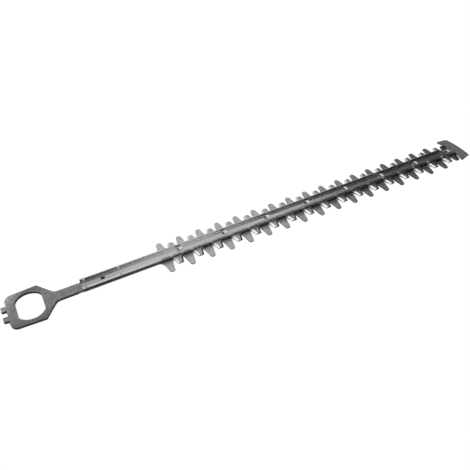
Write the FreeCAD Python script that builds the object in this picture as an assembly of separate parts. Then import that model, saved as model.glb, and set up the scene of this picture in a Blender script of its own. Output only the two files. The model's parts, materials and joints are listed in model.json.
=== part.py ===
"""Hedge trimmer blade: a sliding cutter between a fixed comb and a U-shaped guide rail.

Sizes are in millimetres. Stations along the bar are counted from the first long comb tooth, with +X
towards the tip. The finished pieces are then moved so that the origin is the middle of the bar's footprint,
with the underside of the comb at Z = 0.
"""
import FreeCAD, Part
import math
import os

# Both rows of teeth
tooth_pitch = 30.0
comb_pairs = 17

# Fixed comb
comb_thickness = 1.5
comb_reach = 28.3
comb_strip_width = 15.2
comb_tip_width = 6.6
comb_root_width = 14.2
comb_tip_radius = 3.5
comb_root_radius = 3.0
first_flank_radius = 8.0
end_pair_reach = 21.0
end_pair_pitch = 31.5
comb_nose = 7.0
comb_end_radius = 3.0
comb_tapped_hole = 5.0

# Moving cutter
cutter_thickness = 2.5
stroke = 10.0
cutter_reach = 20.0
cutter_strip_width = 14.4
cutter_tip_width = 8.0
cutter_root_width = 14.3
cutter_nose = 4.5
bevel_width = 2.5
bevel_setback = 1.6
edge_land = 1.4

# Drive eye and fork at the rear of the cutter
cam_width = 33.5
cam_clearance = 0.5
drive_thickness = 4.0
drive_gap = 1.5
eye_flat = 26.0
eye_corner_radius = 7.0
eye_from_mount = 94.6
eye_side_rim = 6.5
eye_taper = 1.8
eye_rear_rim = 11.0
eye_shoulder = 42.0
eye_slope_run = 18.0
eye_rear_radius = 9.0
eye_shoulder_radius = 1.5
neck_radius = 9.0
tab_width = 7.4
tab_length = 6.5
tab_gap = 9.2
tab_radius = 0.8

# Guide rail
rail_width = 15.0
rail_height = 6.0
rail_wall = 1.8
rail_bend_radius = 1.0
rail_lip_radius = 0.7
rail_overhang = 28.6
rail_end_slope = 12.0
mount_from_tooth = 88.0
mount_hole = 6.0
cross_hole = 3.0
cross_hole_spacing = 46.8

# Rivets and guide sleeves
tip_rivet_setback = 7.0
rivet_spacing = 69.0
rivet_shank = 4.0
rivet_head = 9.2
rivet_head_height = 1.5
rivet_dish = 8.4
rivet_dish_floor = 2.4
rivet_dish_depth = 1.2
rivet_sink = 6.4
rivet_sink_depth = 0.9
sleeve_outside = 6.6

# Tip guard
guard_thickness = 1.8
guard_tongue_width = 13.0
guard_neck = 11.0
guard_sweep = 6.0
guard_length = 29.6
guard_bow = 2.3
guard_lip = 5.5
guard_drop = 2.0
guard_front_width = 46.8
guard_rear_width = 56.0
guard_corner_radius = 1.5
guard_notch_radius = 2.5
guard_turn = 6.2

# Fits
running_clearance = 0.15
slide_clearance = 0.15
end_clearance = 0.4
rivet_clearance = 0.1
butt_clearance = 0.5

# Lengths below this count as none
edge_tolerance = 1e-6

# Heights of the stack
comb_top = comb_thickness
cutter_bottom = comb_top + running_clearance
cutter_top = cutter_bottom + cutter_thickness
drive_bottom = cutter_top - drive_thickness
floor_bottom = cutter_top + running_clearance
floor_top = floor_bottom + rail_wall
rail_top = floor_bottom + rail_height
guard_top = floor_bottom + guard_thickness

# Stations along the bar
end_pair_x = (comb_pairs - 1) * tooth_pitch + end_pair_pitch
tip_rivet_x = end_pair_x - tip_rivet_setback
rail_rivet_count = int(tip_rivet_x // rivet_spacing)
rivet_stations = [tip_rivet_x - i * rivet_spacing for i in range(rail_rivet_count, 0, -1)]
mount_x = -mount_from_tooth
eye_x = mount_x - eye_from_mount
eye_rear_x = eye_x - cam_width / 2 - eye_rear_rim
fork_rear_x = eye_rear_x - tab_length
rail_rear_x = mount_x - rail_overhang
drive_front_x = rail_rear_x - stroke / 2 - drive_gap
rail_front_x = tip_rivet_x - guard_tongue_width / 2 - butt_clearance
slot_width = sleeve_outside + 2 * slide_clearance
slot_travel = stroke + 2 * end_clearance
cutter_front_x = tip_rivet_x + (slot_travel + slot_width) / 2 + cutter_nose


def rounded_wire(corners):
    """A closed outline through (x, y, radius) corners, with a tangent arc at each.

    Where the two arcs on a side would overlap, they share its length.
    """
    points = [FreeCAD.Vector(x, y, 0) for x, y, _ in corners]
    following = points[1:] + points[:1]
    half_angles = []
    reaches = []
    for i, (_, _, radius) in enumerate(corners):
        half_angle = (points[i - 1] - points[i]).getAngle(following[i] - points[i]) / 2
        half_angles.append(half_angle)
        reaches.append(radius / math.tan(half_angle))
    shares = []
    for i, point in enumerate(points):
        wanted = reaches[i - 1] + reaches[i]
        length = point.distanceToPoint(points[i - 1])
        shares.append(min(1, length / wanted) if wanted else 1)
    edges = []
    ends = []
    for i, point in enumerate(points):
        reach = reaches[i] * min(shares[i], shares[(i + 1) % len(points)])
        before = (points[i - 1] - point).normalize()
        after = (following[i] - point).normalize()
        ends.append((point + before * reach, point + after * reach))
        if reach > 0:
            to_arc = reach * (1 - math.sin(half_angles[i])) / math.cos(half_angles[i])
            middle = point + (before + after).normalize() * to_arc
            edges.append(Part.Arc(ends[i][0], middle, ends[i][1]).toShape())
    for i, (start, _) in enumerate(ends):
        if start.distanceToPoint(ends[i - 1][1]) > edge_tolerance:
            edges.append(Part.makeLine(ends[i - 1][1], start))
    return Part.Wire(Part.__sortEdges__(edges))


def plate(wire, bottom, thickness):
    """A flat plate of the given outline."""
    face = Part.Face(wire)
    face.translate(FreeCAD.Vector(0, 0, bottom))
    return face.extrude(FreeCAD.Vector(0, 0, thickness))


def mirrored(corners):
    """Corners of one long side, followed by the same corners on the other side, in reverse."""
    return corners + [(x, -y, radius) for x, y, radius in reversed(corners)]


def is_upright(edge):
    """Whether an edge stands upright."""
    return edge.BoundBox.DiagonalLength - edge.BoundBox.ZLength < edge_tolerance


def drill(x, diameter, bottom, depth):
    """A round cutting tool that stands upright on the centre line."""
    return Part.makeCylinder(diameter / 2, depth, FreeCAD.Vector(x, 0, bottom))


def turned(x, profile):
    """A solid turned from (radius, height) corners about an upright axis on the centre line."""
    corners = [FreeCAD.Vector(radius, 0, z) for radius, z in profile]
    face = Part.Face(Part.makePolygon(corners + corners[:1]))
    solid = face.revolve(FreeCAD.Vector(), FreeCAD.Vector(0, 0, 1), 360)
    solid.translate(FreeCAD.Vector(x, 0, 0))
    return solid


def slot(x, width, travel):
    """A cutting tool for a long round-ended slot through the cutter."""
    half = travel / 2
    body = Part.makeBox(travel, width, cutter_thickness, FreeCAD.Vector(x - half, -width / 2, cutter_bottom))
    ends = [drill(x + side * half, width, cutter_bottom, cutter_thickness) for side in (-1, 1)]
    return body.multiFuse(ends)


def tooth_corners(x, strip_width, reach, root_width, tip_width, root_radii=(0, 0), tip_radius=0):
    """Corners of one tooth on the +Y side, from its rear root to its front root."""
    rear_radius, front_radius = root_radii
    return [
        (x - root_width / 2, strip_width / 2, rear_radius),
        (x - tip_width / 2, reach, tip_radius),
        (x + tip_width / 2, reach, tip_radius),
        (x + root_width / 2, strip_width / 2, front_radius),
    ]


def guard_comb():
    """The fixed blade: long blunt teeth on a strip as long as the rail, with a shorter last pair."""
    front_x = end_pair_x + comb_root_width / 2 + comb_nose
    side = [(rail_rear_x, comb_strip_width / 2, comb_end_radius)]
    teeth = [(i * tooth_pitch, comb_reach) for i in range(comb_pairs)] + [(end_pair_x, end_pair_reach)]
    for x, reach in teeth:
        rear_radius = first_flank_radius if x == 0 else comb_root_radius
        side += tooth_corners(
            x, comb_strip_width, reach, comb_root_width, comb_tip_width,
            (rear_radius, comb_root_radius), comb_tip_radius)
    side.append((front_x, comb_strip_width / 2, comb_end_radius))
    comb = plate(rounded_wire(mirrored(side)), 0, comb_thickness)
    hole = rivet_shank + 2 * rivet_clearance
    wide = rivet_sink / 2 + rivet_clearance
    tools = [drill(mount_x, comb_tapped_hole, 0, comb_thickness)]
    for x in rivet_stations + [tip_rivet_x]:
        tools.append(drill(x, hole, 0, comb_thickness))
        tools.append(Part.makeCone(wide, hole / 2, rivet_sink_depth, FreeCAD.Vector(x, 0, 0)))
    return comb.cut(tools)


def eye_hole():
    """The drive eye: two flats a cam's width apart, closed by an arc at each end, corners rounded."""
    half_width = cam_width / 2
    half_flat = eye_flat / 2
    half_height = (cam_width + stroke + cam_clearance) / 2
    points = [
        FreeCAD.Vector(eye_x - half_width, -half_flat, 0),
        FreeCAD.Vector(eye_x - half_width, half_flat, 0),
        FreeCAD.Vector(eye_x, half_height, 0),
        FreeCAD.Vector(eye_x + half_width, half_flat, 0),
        FreeCAD.Vector(eye_x + half_width, -half_flat, 0),
        FreeCAD.Vector(eye_x, -half_height, 0),
    ]
    edges = [
        Part.makeLine(points[0], points[1]),
        Part.Arc(points[1], points[2], points[3]).toShape(),
        Part.makeLine(points[3], points[4]),
        Part.Arc(points[4], points[5], points[0]).toShape(),
    ]
    hole = plate(Part.Wire(edges), drive_bottom, drive_thickness)
    return hole.makeFillet(eye_corner_radius, [edge for edge in hole.Edges if is_upright(edge)])


def flank_bevel(root, tip):
    """A wedge that grinds the upper edge of one tooth flank, from near its root past its tip."""
    along = (tip - root).normalize()
    outward = FreeCAD.Vector(along.y, -along.x, 0)
    if outward.x * (root.x - tip.x) < 0:
        outward = -outward
    over = bevel_width
    steepness = (cutter_thickness - edge_land) / bevel_width
    land_z = cutter_bottom + edge_land
    section = [
        (over, land_z - over * steepness),
        (over, cutter_top + over * steepness),
        (-bevel_width - over, cutter_top + over * steepness),
    ]
    start = root + along * bevel_setback
    corners = [start + outward * offset + FreeCAD.Vector(0, 0, z) for offset, z in section]
    length = (tip - start).Length + over
    return Part.Face(Part.makePolygon(corners + corners[:1])).extrude(along * length)


def cutter_blade():
    """The moving blade: a thicker drive end with eye and fork, and a thin strip with ground tooth flanks."""
    half_strip = cutter_strip_width / 2
    eye_side = (cam_width + stroke + cam_clearance) / 2 + eye_side_rim
    shoulder_x = eye_rear_x + eye_shoulder
    side = [
        (eye_rear_x, tab_gap / 2, 0),
        (fork_rear_x, tab_gap / 2, tab_radius),
        (fork_rear_x, tab_gap / 2 + tab_width, tab_radius),
        (eye_rear_x, tab_gap / 2 + tab_width, 0),
        (eye_rear_x, eye_side - eye_taper, eye_rear_radius),
        (shoulder_x, eye_side, eye_shoulder_radius),
        (shoulder_x + eye_slope_run, half_strip, neck_radius),
    ]
    bevels = []
    for i in range(comb_pairs):
        x = (i + 0.5) * tooth_pitch
        side += tooth_corners(x, cutter_strip_width, cutter_reach, cutter_root_width, cutter_tip_width)
        for end in (-1, 1):
            for y in (-1, 1):
                root = FreeCAD.Vector(x + end * cutter_root_width / 2, y * half_strip, 0)
                tip = FreeCAD.Vector(x + end * cutter_tip_width / 2, y * cutter_reach, 0)
                bevels.append(flank_bevel(root, tip))
    side.append((cutter_front_x, half_strip, comb_end_radius))
    outline = rounded_wire(mirrored(side))
    blade = plate(outline, cutter_bottom, cutter_thickness)
    behind = Part.makeBox(
        drive_front_x - fork_rear_x, 2 * eye_side, drive_thickness,
        FreeCAD.Vector(fork_rear_x, -eye_side, drive_bottom))
    blade = blade.fuse(plate(outline, drive_bottom, drive_thickness).common(behind)).removeSplitter()
    slots = [slot(x, slot_width, slot_travel) for x in rivet_stations + [tip_rivet_x]]
    mount_slot = slot(mount_x, mount_hole + 2 * slide_clearance, slot_travel)
    return blade.cut([eye_hole(), mount_slot] + slots + bevels)


def guide_rail():
    """The stiffening channel, folded from strip, open side up, with its walls sloped at the tip end."""
    half = rail_width / 2
    outer = rail_bend_radius + rail_wall
    section = [
        (half, floor_bottom, outer),
        (half, rail_top, rail_lip_radius),
        (half - rail_wall, rail_top, rail_lip_radius),
        (half - rail_wall, floor_top, rail_bend_radius),
    ]
    wire = rounded_wire(section + [(-y, z, radius) for y, z, radius in reversed(section)])
    wire.rotate(FreeCAD.Vector(), FreeCAD.Vector(1, 1, 1), 120)
    wire.translate(FreeCAD.Vector(rail_rear_x, 0, 0))
    rail = Part.Face(wire).extrude(FreeCAD.Vector(rail_front_x - rail_rear_x, 0, 0))
    tools = [drill(mount_x, mount_hole, floor_bottom, rail_wall)]
    for x in rivet_stations:
        tools.append(drill(x, rivet_shank + 2 * rivet_clearance, floor_bottom, rail_wall))
    for side in (-1, 1):
        x = mount_x + side * cross_hole_spacing / 2
        start = FreeCAD.Vector(x, -half, (floor_top + rail_top) / 2)
        tools.append(Part.makeCylinder(cross_hole / 2, rail_width, start, FreeCAD.Vector(0, 1, 0)))
    slope = [(rail_front_x - rail_end_slope, rail_top), (rail_front_x, rail_top), (rail_front_x, floor_top)]
    corners = [FreeCAD.Vector(x, -half, z) for x, z in slope]
    wedge = Part.Face(Part.makePolygon(corners + corners[:1])).extrude(FreeCAD.Vector(0, rail_width, 0))
    return rail.cut(tools + [wedge])


def tip_guard():
    """The plate across the tip: a tongue under the last rivet and a swept-back wing with a bowed lip."""
    half_tongue = guard_tongue_width / 2
    half_front = guard_front_width / 2
    side = [
        (0, half_tongue, 0),
        (guard_neck, half_tongue, guard_notch_radius),
        (guard_neck - guard_sweep, guard_rear_width / 2, guard_corner_radius),
        (guard_length, half_front, 0),
    ]
    lip_bottom = floor_bottom - guard_drop
    wing = plate(rounded_wire(mirrored(side)), lip_bottom, guard_thickness + guard_drop)
    bow_radius = (half_front ** 2 + guard_bow ** 2) / (2 * guard_bow)
    bend_radius = bow_radius - guard_lip
    profile = [
        (0, floor_bottom),
        (bend_radius, floor_bottom),
        (bow_radius, lip_bottom),
        (bow_radius, lip_bottom + guard_thickness),
        (bend_radius, guard_top),
        (0, guard_top),
    ]
    wing = wing.common(turned(guard_length - bow_radius, profile))
    front_x = guard_length - 2 * guard_bow
    front_corners = [edge for edge in wing.Edges if is_upright(edge) and edge.CenterOfMass.x > front_x]
    wing = wing.makeFillet(guard_corner_radius, front_corners)
    guard = wing.fuse(drill(0, guard_tongue_width, floor_bottom, guard_thickness)).removeSplitter()
    guard = guard.cut(drill(0, rivet_shank + 2 * rivet_clearance, floor_bottom, guard_thickness))
    guard.rotate(FreeCAD.Vector(), FreeCAD.Vector(0, 0, 1), guard_turn)
    guard.translate(FreeCAD.Vector(tip_rivet_x, 0, 0))
    return guard


def rivet(x, seat):
    """A rivet with a dished head on its seat and a closing head sunk flush into the comb."""
    crown = seat + rivet_head_height
    profile = [
        (0, 0),
        (rivet_sink / 2, 0),
        (rivet_shank / 2, rivet_sink_depth),
        (rivet_shank / 2, seat),
        (rivet_head / 2, seat),
        (rivet_head / 2, crown),
        (rivet_dish / 2, crown),
        (rivet_dish_floor / 2, crown - rivet_dish_depth),
        (0, crown - rivet_dish_depth),
    ]
    return turned(x, profile)


def guide_sleeve(x):
    """The spacer round one rivet, a blade's thickness and its running clearance high."""
    height = floor_bottom - comb_top
    outside = drill(x, sleeve_outside, comb_top, height)
    return outside.cut(drill(x, rivet_shank + 2 * rivet_clearance, comb_top, height))


pieces = {
    "guard_comb": guard_comb(),
    "cutter_blade": cutter_blade(),
    "guide_rail": guide_rail(),
    "tip_guard": tip_guard(),
    "rail_rivets": Part.makeCompound([rivet(x, floor_top) for x in rivet_stations]),
    "tip_rivet": rivet(tip_rivet_x, guard_top),
}
for number, station in enumerate(rivet_stations + [tip_rivet_x], 1):
    pieces[f"guide_sleeve_{number}"] = guide_sleeve(station)

boxes = Part.makeCompound(list(pieces.values())).optimalBoundingBox(False, False)
middle_x = (boxes.XMin + boxes.XMax) / 2
middle_y = (boxes.YMin + boxes.YMax) / 2

os.makedirs("parts", exist_ok=True)
for name, shape in pieces.items():
    shape.translate(FreeCAD.Vector(-middle_x, -middle_y, 0))
    shape.exportStep(f"parts/{name}.step")
    print(name, "solids", len(shape.Solids), "valid", shape.isValid(), "volume", round(shape.Volume, 1))
print("middle station", round(middle_x, 3), "footprint", round(boxes.XLength, 2), round(boxes.YLength, 2))
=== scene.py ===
# %% [markdown]
# # A hedge trimmer blade
# The blade is a stack of plain steel parts: a fixed comb below, a toothed cutter that slides on it, a
# U-shaped rail above, and rivets that hold the three together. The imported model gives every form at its
# true size. This lesson rounds the edges as a workshop would, gives each steel its own finish, and lights
# the lot in a small white studio.

import json
import math

import bmesh
import bpy
from mathutils import Matrix, Vector

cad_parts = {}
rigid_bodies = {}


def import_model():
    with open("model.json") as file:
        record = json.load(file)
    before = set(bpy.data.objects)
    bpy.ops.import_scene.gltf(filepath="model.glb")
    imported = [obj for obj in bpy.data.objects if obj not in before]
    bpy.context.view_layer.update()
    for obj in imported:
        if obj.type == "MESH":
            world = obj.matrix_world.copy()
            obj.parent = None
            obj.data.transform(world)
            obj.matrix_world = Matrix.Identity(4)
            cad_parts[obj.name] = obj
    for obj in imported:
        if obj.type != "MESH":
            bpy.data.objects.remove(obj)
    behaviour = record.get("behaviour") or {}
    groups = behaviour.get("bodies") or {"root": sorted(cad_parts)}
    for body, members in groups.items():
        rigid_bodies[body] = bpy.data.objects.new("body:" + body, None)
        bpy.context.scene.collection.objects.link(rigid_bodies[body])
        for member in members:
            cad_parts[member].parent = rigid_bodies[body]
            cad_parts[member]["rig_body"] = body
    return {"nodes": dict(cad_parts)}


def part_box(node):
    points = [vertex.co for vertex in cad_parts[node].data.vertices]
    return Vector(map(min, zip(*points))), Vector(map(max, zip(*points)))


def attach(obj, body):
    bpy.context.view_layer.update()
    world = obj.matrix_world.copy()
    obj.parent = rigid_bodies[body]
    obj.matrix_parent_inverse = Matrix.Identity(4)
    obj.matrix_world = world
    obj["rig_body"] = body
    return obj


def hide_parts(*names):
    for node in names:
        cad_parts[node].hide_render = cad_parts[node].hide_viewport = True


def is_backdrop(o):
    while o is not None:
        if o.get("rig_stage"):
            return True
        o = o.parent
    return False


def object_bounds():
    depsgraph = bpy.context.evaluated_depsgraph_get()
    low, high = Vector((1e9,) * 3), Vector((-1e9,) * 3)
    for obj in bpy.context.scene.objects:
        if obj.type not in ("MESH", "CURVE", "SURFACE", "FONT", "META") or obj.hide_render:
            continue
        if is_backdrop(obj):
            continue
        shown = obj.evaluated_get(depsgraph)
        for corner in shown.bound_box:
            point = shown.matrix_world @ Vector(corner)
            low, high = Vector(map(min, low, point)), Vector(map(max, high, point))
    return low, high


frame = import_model()
cad_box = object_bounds()
mm = 0.001
print("nodes", len(frame["nodes"]), "size in mm", [round(x / mm, 1) for x in cad_box[1] - cad_box[0]])

# %% [markdown]
# ## Stations along the bar
# Finishes change along the bar, so a few stations are needed. They could be typed in again, but then a
# change of size would leave them behind. Here they are read from the boxes of the nodes.

# %% Read the stations from the nodes
first_tooth_lead = 30 * mm
eye_setback = 34 * mm
rail_low, rail_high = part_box("guide_rail")
cutter_low, cutter_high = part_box("cutter_blade")
sleeve_names = sorted(name for name in frame["nodes"] if name.startswith("guide_sleeve"))
teeth_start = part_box(sleeve_names[0])[0].x - first_tooth_lead
eye_middle = Vector((cutter_low.x + eye_setback, 0.0, cutter_high.z))
print("rail starts at", round(rail_low.x / mm, 1), "and the teeth at", round(teeth_start / mm, 1))

# %% [markdown]
# ## Camera
# The bar is seen from above and from its eye end, so its far end shrinks. A camera could be placed by eye.
# Here its place, its aim on the table and its small roll are given as real sizes, which keeps the same view
# whatever is edited later.

# %% Place the camera
camera_place = Vector((-302.9, -473.1, 555.4)) * mm
camera_aim = Vector((-54.4, -4.9, 0.0)) * mm
camera_roll = math.radians(0.74)
camera_data = bpy.data.cameras.new("camera")
camera_data.lens = 41.24
camera_data.sensor_width = 36.0
camera = bpy.data.objects.new("camera", camera_data)
bpy.context.scene.collection.objects.link(camera)
turn = (camera_aim - camera_place).to_track_quat("-Z", "Y").to_matrix().to_4x4()
camera.matrix_world = Matrix.Translation(camera_place) @ turn @ Matrix.Rotation(camera_roll, 4, "Z")
bpy.context.scene.camera = camera
print("camera is", round((camera_aim - camera_place).length, 3), "m from its aim")

# %% [markdown]
# ## Rounded edges
# No steel edge is perfectly sharp: stamping rolls it over on one side, and tumbling breaks it on the other.
# A thin round also catches the light, which is how the eye finds an edge. The imported meshes are loose
# triangles and stay untouched. A copy of each is merged, its flat triangles are joined into whole faces,
# and then only the edges that turn by more than a facet of a curve are bevelled. A bevel modifier could do
# it too, but here the number of rounded edges is printed.

# %% A helper that copies a node and rounds its edges
merge_distance = 0.002 * mm
flat_angle = math.radians(0.5)
edge_angle = math.radians(19)
round_segments = 2


def rounded(node, name, radius):
    """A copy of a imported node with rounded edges, which stands for the node and rides on its body."""
    mesh = bmesh.new()
    mesh.from_mesh(frame["nodes"][node].data)
    bmesh.ops.remove_doubles(mesh, verts=mesh.verts, dist=merge_distance)
    bmesh.ops.dissolve_limit(
        mesh, angle_limit=flat_angle, use_dissolve_boundaries=False, verts=mesh.verts, edges=mesh.edges)
    edges = [edge for edge in mesh.edges if edge.is_manifold and edge.calc_face_angle() > edge_angle]
    bmesh.ops.bevel(
        mesh, geom=edges, offset=radius, offset_type="OFFSET", affect="EDGES", segments=round_segments,
        profile=0.5, material=-1, clamp_overlap=False)
    bmesh.ops.triangulate(mesh, faces=[face for face in mesh.faces if len(face.verts) > 4])
    data = bpy.data.meshes.new(name)
    mesh.to_mesh(data)
    mesh.free()
    data.shade_smooth()
    piece = bpy.data.objects.new(name, data)
    bpy.context.scene.collection.objects.link(piece)
    weighted = piece.modifiers.new("even_flats", "WEIGHTED_NORMAL")
    weighted.keep_sharp = True
    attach(piece, frame["nodes"][node]["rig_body"])
    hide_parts(node)
    print(name, "has", len(data.polygons), "faces and", len(edges), "rounded edges")
    return piece


# %% [markdown]
# ## The pieces
# The comb and the guard are tumbled, so their edges are the roundest. The cutter is ground after stamping
# and keeps crisper ones. The rail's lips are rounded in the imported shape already, so it only loses its last
# sharpness. All of them could share one radius, but then the teeth would look cast.

# %% Round the plates, the rail and the rivets
comb = rounded("guard_comb", "comb_plate", 0.27 * mm)
cutter = rounded("cutter_blade", "cutter_plate", 0.12 * mm)
rail = rounded("guide_rail", "channel_rail", 0.01 * mm)
guard = rounded("tip_guard", "end_guard", 0.3 * mm)
rivets = rounded("rail_rivets", "dished_rivets", 0.15 * mm)
end_rivet = rounded("tip_rivet", "guard_rivet", 0.15 * mm)

# %% [markdown]
# ## Helpers for finishes
# A finish is a small network of nodes. Wired one line at a time it is slow to read, so a few helpers add a
# node with its settings, start a group with named sockets, and mix colours and numbers.

# %% Helpers that add nodes, groups and materials


def add(tree, kind, values=None, **settings):
    """A new node of that kind, with its settings, and numbers or links for its inputs."""
    made = tree.nodes.new(kind)
    for key, value in settings.items():
        setattr(made, key, value)
    for key, value in (values or {}).items():
        if isinstance(value, bpy.types.NodeSocket):
            tree.links.new(value, made.inputs[key])
        else:
            made.inputs[key].default_value = value
    return made


def new_group(name, inputs, outputs):
    """A shader group with float inputs and outputs, and its two end nodes."""
    tree = bpy.data.node_groups.new(name, "ShaderNodeTree")
    for label, value in inputs.items():
        socket = tree.interface.new_socket(label, in_out="INPUT", socket_type="NodeSocketFloat")
        socket.default_value = value
    for label in outputs:
        tree.interface.new_socket(label, in_out="OUTPUT", socket_type="NodeSocketFloat")
    return tree, tree.nodes.new("NodeGroupInput"), tree.nodes.new("NodeGroupOutput")


def use(tree, group, **values):
    """The outputs of a group in a material, with the group's inputs set to the given numbers."""
    return add(tree, "ShaderNodeGroup", values, node_tree=group).outputs


def new_material(name):
    """A material with a plain Principled shader, its tree and that shader."""
    material = bpy.data.materials.new(name)
    material.use_nodes = True
    return material, material.node_tree, material.node_tree.nodes["Principled BSDF"]


# %% Helpers that work on numbers
noise_middle = (0.3, 0.7)


def maths(tree, operation, *values):
    """The result of one of Blender's sums on one or two numbers."""
    return add(tree, "ShaderNodeMath", dict(enumerate(values)), operation=operation).outputs[0]


def times(tree, first, second):
    """The product of two numbers."""
    return maths(tree, "MULTIPLY", first, second)


def scaled(tree, value, low, high, start=0.0, end=1.0):
    """A number that runs from low to high as the value runs from start to end."""
    return add(tree, "ShaderNodeMapRange", {
        "Value": value, "From Min": start, "From Max": end, "To Min": low, "To Max": high}).outputs[0]


def spread(tree, noise, low=0.0, high=1.0):
    """A number that runs from low to high over the middle of a noise, where most of its values lie."""
    return scaled(tree, noise, low, high, *noise_middle)


def between(tree, factor, first, second):
    """A number between two others, by a factor that changes over the surface."""
    return add(tree, "ShaderNodeMix", {"Factor": factor, 2: first, 3: second}).outputs[0]


# %% Helpers that work on places, colours and heights


def place_on(tree):
    """Where a point lies on its object, in metres."""
    return add(tree, "ShaderNodeTexCoord").outputs["Object"]


def axis_of(tree, vector, axis):
    """One of the three numbers of a vector."""
    return add(tree, "ShaderNodeSeparateXYZ", {0: vector}).outputs[axis]


def blend(tree, factor, first, second):
    """A colour between two others, by a factor that changes over the surface."""
    ends = [end if isinstance(end, bpy.types.NodeSocket) else (*end, 1.0) for end in (first, second)]
    return add(tree, "ShaderNodeMix", {"Factor": factor, 6: ends[0], 7: ends[1]}, data_type="RGBA").outputs[2]


def raise_surface(tree, shader, height, depth):
    """Raises the surface by a height that changes over it, with the depth in metres."""
    made = add(tree, "ShaderNodeBump", {"Height": height, "Distance": depth, "Strength": 1.0})
    tree.links.new(made.outputs[0], shader.inputs["Normal"])


# %% [markdown]
# ## Drawn steel: lines along the bar
# Strip steel leaves the mill with fine lines along its length. A picture of them could be wrapped on, but
# noise that is stretched along X needs no picture and never repeats. One noise is coarse, for the bands
# that show from afar, and one is fine, for the hair lines that show close up.

# %% A group for lines along the bar
drawn, drawn_in, drawn_out = new_group("drawn_lines", {"Along": 12.0, "Across": 700.0}, ["Bands", "Hairs"])
stretch = add(drawn, "ShaderNodeCombineXYZ", {
    "X": drawn_in.outputs["Along"], "Y": drawn_in.outputs["Across"], "Z": drawn_in.outputs["Across"]})
stretched = add(drawn, "ShaderNodeVectorMath", {
    0: place_on(drawn), 1: stretch.outputs[0]}, operation="MULTIPLY").outputs[0]
bands = add(drawn, "ShaderNodeTexNoise", {"Vector": stretched, "Scale": 1.0, "Detail": 3.0, "Roughness": 0.6})
hairs = add(drawn, "ShaderNodeTexNoise", {"Vector": stretched, "Scale": 7.0, "Detail": 4.0, "Roughness": 0.7})
drawn.links.new(bands.outputs["Fac"], drawn_out.inputs["Bands"])
drawn.links.new(hairs.outputs["Fac"], drawn_out.inputs["Hairs"])
print(drawn.name, "has", len(drawn.nodes), "nodes")

# %% [markdown]
# ## Matte grain
# Heat-treated and etched steel has a fine grain with faint clouds in it. It could be painted, but two
# noises give the same look at any size: a small one for the grain and a large one for the clouds.

# %% A group for grain and clouds
grain, grain_in, grain_out = new_group("matte_grain", {"Grain": 1400.0, "Clouds": 60.0}, ["Grain", "Clouds"])
place = place_on(grain)
fine = add(grain, "ShaderNodeTexNoise", {
    "Vector": place, "Scale": grain_in.outputs["Grain"], "Detail": 3.0, "Roughness": 0.6})
broad = add(grain, "ShaderNodeTexNoise", {
    "Vector": place, "Scale": grain_in.outputs["Clouds"], "Detail": 4.0, "Roughness": 0.55})
grain.links.new(fine.outputs["Fac"], grain_out.inputs["Grain"])
grain.links.new(broad.outputs["Fac"], grain_out.inputs["Clouds"])
print(grain.name, "has", len(grain.nodes), "nodes")

# %% [markdown]
# ## Sides, rims and bevels
# The sides of a stamped plate are torn, not rolled, so they are rougher than its faces, and they are also
# made much darker. The rim where a face rolls over into a side is painted darker on the comb, a painted
# reflection of the dark its rounding turns to. The bevels of the teeth are ground, so they are smoother. All
# of them could be painted face by face, but the direction of the surface already tells them apart. The height
# of its normal is 1 on a face, a little less on a bevel or a rim and 0 on a side. A side that looks along the
# bar is the flank of a tooth, and one that turns away from the middle of the bar is an outside.

# %% A group that tells sides, rims and bevels from faces
lean, _, lean_out = new_group("lean_of_surface", {}, ["Side", "Flank", "Rim", "Bevel", "Outside"])
normal = add(lean, "ShaderNodeSeparateXYZ", {0: add(lean, "ShaderNodeTexCoord").outputs["Normal"]}).outputs
height = maths(lean, "ABSOLUTE", normal["Z"])
endways = maths(lean, "ABSOLUTE", normal["X"])
outward = times(lean, axis_of(lean, place_on(lean), "Y"), normal["Y"])
side = scaled(lean, height, 1.0, 0.0, 0.25, 0.5)
masks = {
    "Side": side,
    "Flank": times(lean, side, scaled(lean, endways, 0.0, 1.0, 0.6, 0.85)),
    "Rim": scaled(lean, height, 1.0, 0.0, 0.8, 0.99),
    "Bevel": times(
        lean, scaled(lean, height, 0.0, 1.0, 0.8, 0.86), scaled(lean, height, 1.0, 0.0, 0.955, 0.985)),
    "Outside": times(
        lean, scaled(lean, outward, 0.0, 1.0, 0.0, mm), scaled(lean, height, 1.0, 0.0, 0.5, 0.95)),
}
for label, mask in masks.items():
    lean.links.new(mask, lean_out.inputs[label])
print(lean.name, "has", len(lean.nodes), "nodes and", len(masks), "masks")

# %% [markdown]
# ## The rail: bright drawn steel
# The rail is the brightest part. It mirrors the room softly, with lines along the bar, and hands have left
# faint smudges that dull it here and there. Its colour is darker towards its rear end, and its outer walls
# are painted paler, a painted reflection of the white table. Plain metal with one roughness would look like
# plastic foil, so the lines change the colour and the smudges change the gloss.

# %% Rail finish
rail_finish, tree, shader = new_material("rail_finish")
dark_band, pale_band, hair_line = (0.43, 0.43, 0.435), (0.5, 0.5, 0.505), (0.36, 0.36, 0.365)
rear_darker_steel, outer_wall_painted_reflection = (0.2, 0.2, 0.203), (0.55, 0.55, 0.555)
rear_darkening_length = 70 * mm
lines = use(tree, drawn, Along=9.0, Across=620.0)
smudges = use(tree, grain, Grain=900.0, Clouds=45.0)["Clouds"]
outside = use(tree, lean)["Outside"]
tone = blend(tree, spread(tree, lines["Bands"]), dark_band, pale_band)
tone = blend(tree, spread(tree, lines["Hairs"], 0.0, 0.2), tone, hair_line)
station = axis_of(tree, place_on(tree), "X")
# The rail's colour darkens towards its rear end.
rear_darkening = scaled(tree, station, 0.6, 0.0, rail_low.x, rail_low.x + rear_darkening_length)
tone = blend(tree, rear_darkening, tone, rear_darker_steel)
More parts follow.
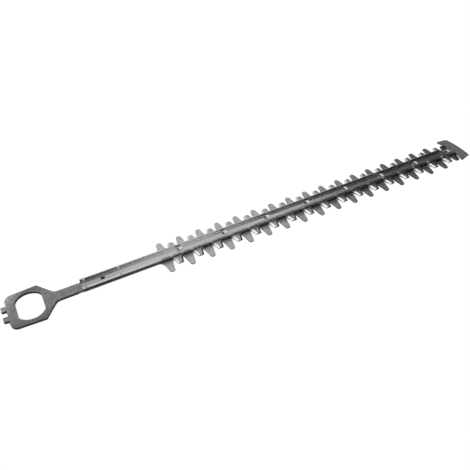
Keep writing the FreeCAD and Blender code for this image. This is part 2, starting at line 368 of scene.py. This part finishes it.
# Painted reflection: the outer walls are painted paler, standing in for the white table they mirror.
tree.links.new(blend(tree, outside, tone, outer_wall_painted_reflection), shader.inputs["Base Color"])
shader.inputs["Metallic"].default_value = 1.0
gloss = between(tree, outside, spread(tree, smudges, 0.21, 0.27), 0.32)
tree.links.new(gloss, shader.inputs["Roughness"])
raise_surface(tree, shader, lines["Hairs"], 0.0006 * mm)
rail.data.materials.append(rail_finish)
print(rail_finish.name, "has", len(tree.nodes), "nodes")

# %% [markdown]
# ## The comb: satin rolled steel
# The comb's faces are as the mill left them and duller than the rail, with a grain that shows close up. Its
# rims are painted darker, a painted reflection of the dark their rounding turns to, and its stamped sides are
# darker still. The sides could be faces with a material of their own, but the masks follow the rounded edges
# more softly.

# %% Comb finish
comb_finish, tree, shader = new_material("comb_finish")
dark_cloud, pale_cloud, hair_line = (0.44, 0.44, 0.443), (0.54, 0.54, 0.543), (0.34, 0.34, 0.343)
dark_grain, rim_painted_dark, darkened_side = (0.22, 0.22, 0.223), (0.16, 0.16, 0.163), (0.05, 0.05, 0.052)
mottle = use(tree, grain, Grain=550.0, Clouds=140.0)
lines = use(tree, drawn, Along=25.0, Across=1100.0)
leaning = use(tree, lean)
tone = blend(tree, spread(tree, mottle["Clouds"]), dark_cloud, pale_cloud)
tone = blend(tree, scaled(tree, lines["Hairs"], 0.0, 0.3, 0.35, 0.7), tone, hair_line)
tone = blend(tree, scaled(tree, mottle["Grain"], 0.0, 0.55, 0.42, 0.6), tone, dark_grain)
# Painted reflection: the comb's rounded rims are painted darker, standing in for the dark they mirror.
tone = blend(tree, leaning["Rim"], tone, rim_painted_dark)
# The sides are made much darker and duller than the faces.
tree.links.new(blend(tree, leaning["Side"], tone, darkened_side), shader.inputs["Base Color"])
tree.links.new(scaled(tree, leaning["Side"], 1.0, 0.3), shader.inputs["Metallic"])
tree.links.new(scaled(tree, leaning["Side"], 0.34, 0.7), shader.inputs["Roughness"])
raise_surface(tree, shader, mottle["Grain"], 0.006 * mm)
comb.data.materials.append(comb_finish)
print(comb_finish.name, "has", len(tree.nodes), "nodes")

# %% [markdown]
# ## The cutter: grey at the eye, ground at the teeth
# The eye and the neck keep a matte grey skin from heat treatment, with painted shade towards the eye's two
# rims and a painted highlight at its corner towards the lamp. Along the teeth the faces are ground bright,
# and their bevels are ground again, finer. The flanks of the teeth under the bevels are painted pale and
# dull, a painted reflection that keeps them bright, and the other sides, the ends of the teeth among them,
# are made much darker. Two materials could be given to two sets of faces, but the change from skin to ground
# steel is soft and lies under the rail, so one material follows X.

# %% Cutter finish: what is ground and what is torn
cutter_finish, tree, shader = new_material("cutter_finish")
skin_end = rail_low.x + 30 * mm
mottle = use(tree, grain, Grain=600.0, Clouds=110.0)
wheel = use(tree, drawn, Along=70.0, Across=2600.0)["Bands"]
leaning = use(tree, lean)
place = place_on(tree)
ground = scaled(tree, axis_of(tree, place, "X"), 0.0, 1.0, skin_end, teeth_start)
bevel = times(tree, ground, leaning["Bevel"])
flank = times(tree, ground, leaning["Flank"])
torn = maths(tree, "SUBTRACT", leaning["Side"], flank)
print("skin turns to ground steel from", round(skin_end / mm, 1), "to", round(teeth_start / mm, 1), "mm")

# %% Cutter finish: the grey skin
dark_skin, pale_skin, dark_grain = (0.182, 0.181, 0.189), (0.242, 0.241, 0.25), (0.06, 0.06, 0.063)
rim_painted_shade, corner_painted_highlight = (0.115, 0.115, 0.118), (0.4, 0.4, 0.397)
corner_direction = (-1.0, 1.0, 0.0)
from_eye = add(tree, "ShaderNodeVectorMath", {0: place, 1: eye_middle}, operation="SUBTRACT").outputs[0]
from_axis = maths(tree, "ABSOLUTE", axis_of(tree, from_eye, "Y"))
reach = add(tree, "ShaderNodeVectorMath", {0: from_eye, 1: corner_direction}, operation="DOT_PRODUCT")
to_corner = reach.outputs["Value"]
skin = blend(tree, spread(tree, mottle["Clouds"]), dark_skin, pale_skin)
# Painted shade: the skin darkens towards the eye's two rims.
skin = blend(tree, scaled(tree, from_axis, 0.0, 0.85, 9 * mm, 25 * mm), skin, rim_painted_shade)
# Painted highlight: the skin pales at the eye's corner towards the lamp.
skin = blend(tree, scaled(tree, to_corner, 0.0, 1.0, 27 * mm, 47 * mm), skin, corner_painted_highlight)
skin = blend(tree, scaled(tree, mottle["Grain"], 0.0, 0.5, 0.42, 0.6), skin, dark_grain)
print("the skin is centred on", [round(x / mm, 1) for x in eye_middle])

# %% Cutter finish: the ground steel
dark_face, pale_face = (0.36, 0.36, 0.363), (0.45, 0.45, 0.453)
dark_bevel, pale_bevel = (0.5, 0.5, 0.505), (0.62, 0.62, 0.625)
flank_painted_pale, darkened_side = (0.65, 0.65, 0.65), (0.015, 0.015, 0.016)
face = blend(tree, spread(tree, mottle["Clouds"]), dark_face, pale_face)
edge = blend(tree, spread(tree, wheel), dark_bevel, pale_bevel)
tone = blend(tree, bevel, blend(tree, ground, skin, face), edge)
# Painted reflection: the flanks of the teeth are painted pale, which keeps them bright.
tone = blend(tree, flank, tone, flank_painted_pale)
# The sides other than the flanks are made much darker than the faces.
tree.links.new(blend(tree, torn, tone, darkened_side), shader.inputs["Base Color"])
print(cutter_finish.name, "has", len(tree.nodes), "nodes for its colours")

# %% Cutter finish: the gloss
metal = times(tree, scaled(tree, ground, 0.3, 1.0), scaled(tree, leaning["Side"], 1.0, 0.0))
gloss = between(tree, bevel, scaled(tree, ground, 0.62, 0.36), 0.2)
tree.links.new(metal, shader.inputs["Metallic"])
tree.links.new(gloss, shader.inputs["Roughness"])
shader.inputs["Specular IOR Level"].default_value = 0.25
raise_surface(tree, shader, mottle["Grain"], 0.008 * mm)
cutter.data.materials.append(cutter_finish)
print(cutter_finish.name, "has", len(tree.nodes), "nodes in all")

# %% [markdown]
# ## The guard: matte grey
# The guard has the same grey skin as the eye, all over, with a coarser grain from shot blasting. Its lip is
# bent down and its slope is made darker. The cutter's material could be used again, but it follows the eye,
# so the guard has its own.

# %% Guard finish
guard_finish, tree, shader = new_material("guard_finish")
dark_skin, pale_skin, dark_grain = (0.145, 0.144, 0.153), (0.2, 0.199, 0.21), (0.07, 0.07, 0.075)
darker_lip, darkened_side = (0.085, 0.084, 0.09), (0.03, 0.03, 0.033)
mottle = use(tree, grain, Grain=700.0, Clouds=130.0)
leaning = use(tree, lean)
skin = blend(tree, spread(tree, mottle["Clouds"]), dark_skin, pale_skin)
skin = blend(tree, scaled(tree, mottle["Grain"], 0.0, 0.55, 0.42, 0.6), skin, dark_grain)
# The guard's bent lip is made darker.
skin = blend(tree, times(tree, leaning["Bevel"], 0.6), skin, darker_lip)
# The sides are made much darker than the faces.
tree.links.new(blend(tree, leaning["Side"], skin, darkened_side), shader.inputs["Base Color"])
shader.inputs["Metallic"].default_value = 0.2
shader.inputs["Roughness"].default_value = 0.6
shader.inputs["Specular IOR Level"].default_value = 0.25
raise_surface(tree, shader, mottle["Grain"], 0.012 * mm)
guard.data.materials.append(guard_finish)
print(guard_finish.name, "has", len(tree.nodes), "nodes")

# %% [markdown]
# ## The rivets: bright plated
# The rivets are plated and mirror the room more sharply than the rest. Their dished heads turn one side to
# the light and the other to the dark, which makes a bright stroke beside a dark spot. The stroke could be
# painted, but then it would stay in place when the bar is seen from elsewhere, so it is left to the shape
# and the gloss.

# %% Rivet finish
rivet_finish, tree, shader = new_material("rivet_finish")
dark_plating, pale_plating = (0.44, 0.44, 0.437), (0.54, 0.54, 0.535)
mottle = use(tree, grain, Grain=1500.0, Clouds=420.0)
tone = blend(tree, spread(tree, mottle["Clouds"]), dark_plating, pale_plating)
tree.links.new(tone, shader.inputs["Base Color"])
shader.inputs["Metallic"].default_value = 1.0
tree.links.new(spread(tree, mottle["Clouds"], 0.14, 0.24), shader.inputs["Roughness"])
raise_surface(tree, shader, mottle["Grain"], 0.003 * mm)
for piece in (rivets, end_rivet):
    piece.data.materials.append(rivet_finish)
print(rivet_finish.name, "has", len(tree.nodes), "nodes")

# %% [markdown]
# ## The sleeves: turned steel
# The sleeves sit inside the stack and show only through the gaps. They could be rounded too, but nobody
# would see it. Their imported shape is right, so they keep it and get rings from the lathe, as noise that
# changes quickly with height.

# %% Sleeve finish
sleeve_finish, tree, shader = new_material("sleeve_finish")
dark_ring, pale_ring = (0.45, 0.45, 0.46), (0.58, 0.58, 0.59)
ring_stretch = (40.0, 40.0, 5200.0)
rings = add(tree, "ShaderNodeVectorMath", {0: place_on(tree), 1: ring_stretch}, operation="MULTIPLY")
turned = add(tree, "ShaderNodeTexNoise", {"Vector": rings.outputs[0], "Scale": 1.0, "Detail": 3.0})
cuts = turned.outputs["Fac"]
tree.links.new(blend(tree, spread(tree, cuts), dark_ring, pale_ring), shader.inputs["Base Color"])
shader.inputs["Metallic"].default_value = 1.0
tree.links.new(spread(tree, cuts, 0.26, 0.4), shader.inputs["Roughness"])
raise_surface(tree, shader, cuts, 0.006 * mm)
for name in sleeve_names:
    frame["nodes"][name].data.materials.clear()
    frame["nodes"][name].data.materials.append(sleeve_finish)
print(len(sleeve_names), "sleeves have", sleeve_finish.name)

# %% [markdown]
# ## The table
# The bar lies on a pale table, which is white to the camera and to reflections and keeps a trace of the
# bar's shadow. A plain white surface lit until it clips would also look white, but then the lamps would
# burn out the steel too. In the narrow gap under the middle of the bar no sky reaches the table, so there
# it goes dark. Beside the bar, under the teeth and the eye, the gap is open and the table stays white.

# %% Helpers for what the camera and reflections see


def seen_rays(tree):
    """1 for camera, mirror and glass rays, and 0 for rays that carry soft light."""
    ray = add(tree, "ShaderNodeLightPath").outputs
    either = maths(tree, "MAXIMUM", ray["Is Camera Ray"], ray["Is Glossy Ray"])
    return maths(tree, "MAXIMUM", either, ray["Is Transmission Ray"])


def stage_piece(name, width, depth, matrix):
    """A flat card or table that belongs to the studio."""
    mesh = bmesh.new()
    bmesh.ops.create_grid(mesh, x_segments=1, y_segments=1, size=0.5)
    bmesh.ops.scale(mesh, vec=(width, depth, 1.0), verts=mesh.verts)
    bmesh.ops.transform(mesh, matrix=matrix, verts=mesh.verts)
    data = bpy.data.meshes.new(name)
    mesh.to_mesh(data)
    mesh.free()
    made = bpy.data.objects.new(name, data)
    bpy.context.scene.collection.objects.link(made)
    made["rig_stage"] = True
    return made


# %% Table
table_width = 12.0
table_top = -0.05 * mm
white = (1.0, 1.0, 1.0, 1.0)
white_share = 0.94
table = stage_piece("table", table_width, table_width, Matrix.Translation((0.0, 0.0, table_top)))
table_finish, tree, shader = new_material("table_finish")
shader.inputs["Base Color"].default_value = (0.8, 0.8, 0.8, 1.0)
shader.inputs["Roughness"].default_value = 0.9
glow = add(tree, "ShaderNodeEmission", {"Color": white, "Strength": 1.04})
open_sky = add(tree, "ShaderNodeAmbientOcclusion", {"Distance": 5 * mm}, samples=16).outputs["AO"]
from_axis = maths(tree, "ABSOLUTE", axis_of(tree, place_on(tree), "Y"))
under_bar = scaled(tree, open_sky, 0.0, white_share, 0.22, 0.62)
beside_bar = scaled(tree, from_axis, 0.0, white_share, 12 * mm, 16 * mm)
share = times(tree, seen_rays(tree), maths(tree, "MAXIMUM", under_bar, beside_bar))
mixed = add(tree, "ShaderNodeMixShader", {0: share, 1: shader.outputs[0], 2: glow.outputs[0]})
tree.links.new(mixed.outputs[0], tree.nodes["Material Output"].inputs["Surface"])
table.data.materials.append(table_finish)
print("table is", table_width, "m wide")

# %% [markdown]
# ## The room
# The room is white to the camera and to reflections, and lights the bar at a plain level. A picture of a
# studio could do the same, but a plain level is easier to balance against the lamp.

# %% World
soft_strength, seen_strength = 0.55, 1.0
world = bpy.data.worlds.new("room")
bpy.context.scene.world = world
world.use_nodes = True
tree = world.node_tree
background = tree.nodes["Background"]
background.inputs["Color"].default_value = white
tree.links.new(scaled(tree, seen_rays(tree), soft_strength, seen_strength), background.inputs["Strength"])
print("world strength is", soft_strength, "for soft light and", seen_strength, "where it is seen")

# %% [markdown]
# ## Cards round the bar
# Bright steel shows what stands round it. Dark cards beyond the tip and in front of its right half give the
# steel its fall from light to dark. They are darkest low down and at the near side, which blackens the
# right bevels of the teeth and the walls of the rail. A narrow dark card stands where the photographer
# would, and a bright one beside it lights the inside of the rail. A soft box overhead whitens the left
# bevels and the rivets, and a runner on the table, white at the eye and dark at the tip, is for the upright
# sides. A picture of a room could give all this at once, but each card can be moved alone. Only reflections
# see them, so the table stays white.

# %% Helpers for cards that only reflections see
runner_fade = 150 * mm


def glowing(made, rear, front):
    """Makes a stage piece glow from one strength at the eye to another at the tip, for reflections only."""
    made.visible_camera = False
    made.visible_diffuse = False
    made.visible_shadow = False
    made.visible_transmission = False
    finish, tree, _ = new_material(made.name + "_finish")
    station = axis_of(tree, place_on(tree), "X")
    strength = scaled(tree, station, rear, front, teeth_start, rail_high.x - runner_fade)
    glow = add(tree, "ShaderNodeEmission", {"Color": white, "Strength": strength})
    tree.links.new(glow.outputs[0], tree.nodes["Material Output"].inputs["Surface"])
    made.data.materials.append(finish)


def card(name, start, end, low, high, brightness):
    """A standing card between two points on the floor plan, dark or glowing, seen by reflections only."""
    start, end = Vector((*start, 0.0)), Vector((*end, 0.0))
    middle = (start + end) / 2 + Vector((0.0, 0.0, (low + high) / 2))
    turn = Matrix.Rotation(math.atan2(end.y - start.y, end.x - start.x), 4, "Z")
    matrix = Matrix.Translation(middle) @ turn @ Matrix.Rotation(math.radians(90), 4, "X")
    glowing(stage_piece(name, (end - start).length, high - low, matrix), brightness, brightness)


# %% Cards, runner and soft box
cards = {
    "far_grey_card": ((1.63, 1.92), (1.76, 1.78), 0.0, 4.5, 0.4),
    "far_dark_card": ((1.76, 1.78), (4.5, -1.0), 1.3, 4.5, 0.15),
    "far_low_card": ((1.76, 1.78), (4.5, -1.0), 0.0, 1.3, 0.015),
    "near_dark_card": ((4.5, -1.0), (0.97, -2.06), 0.0, 4.5, 0.015),
    "near_high_card": ((4.5, -1.0), (1.9, -1.78), 4.5, 9.0, 0.015),
    "bright_card": ((0.92, -2.08), (0.33, -2.25), 1.0, 3.6, 2.6),
    "camera_dark_card": ((0.28, -2.26), (-0.55, -2.3), 0.6, 4.5, 0.05),
}
for name, (start, end, low, high, brightness) in cards.items():
    card(name, start, end, low, high, brightness)
runner_place = Matrix.Translation((0.0, -0.15, -0.02 * mm))
glowing(stage_piece("table_runner", 1.6, 0.3, runner_place), 0.97, 0.02)
overhead = Matrix.Translation((-0.6, 1.08, 2.5)) @ Matrix.Rotation(math.radians(-26), 4, "Z")
glowing(stage_piece("soft_box", 2.0, 0.6, overhead), 1.9, 1.9)
print(len(cards), "cards stand round the bar, a soft box hangs above, and a runner lies on the table")

# %% [markdown]
# ## Lamp
# One broad soft lamp behind the bar gives the matte skin its shape. A small lamp would throw hard shadows,
# which a white studio doesn't have. It is hidden from reflections, which have the white room already.

# %% Soft lamp
lamp_data = bpy.data.lights.new("soft_lamp", "AREA")
lamp_data.shape = "DISK"
lamp_data.size = 1.2
lamp_data.energy = 18.0
lamp = bpy.data.objects.new("soft_lamp", lamp_data)
lamp_place = Vector((-0.5, 0.9, 1.4))
lamp_turn = (-lamp_place).to_track_quat("-Z", "Y").to_matrix().to_4x4()
lamp.matrix_world = Matrix.Translation(lamp_place) @ lamp_turn
lamp.visible_glossy = False
bpy.context.scene.collection.objects.link(lamp)
print("lamp stands", round(lamp_place.length, 2), "m from the bar")

# %% [markdown]
# ## Last settings
# The view is kept plain, so that a colour looks as it is written.

# %% Print the sizes and finish
bpy.context.scene.view_settings.view_transform = "Standard"
seen_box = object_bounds()
growth = [round((a - b) / mm, 2) for a, b in zip(seen_box[1] - seen_box[0], cad_box[1] - cad_box[0])]
print("grew by mm", growth)
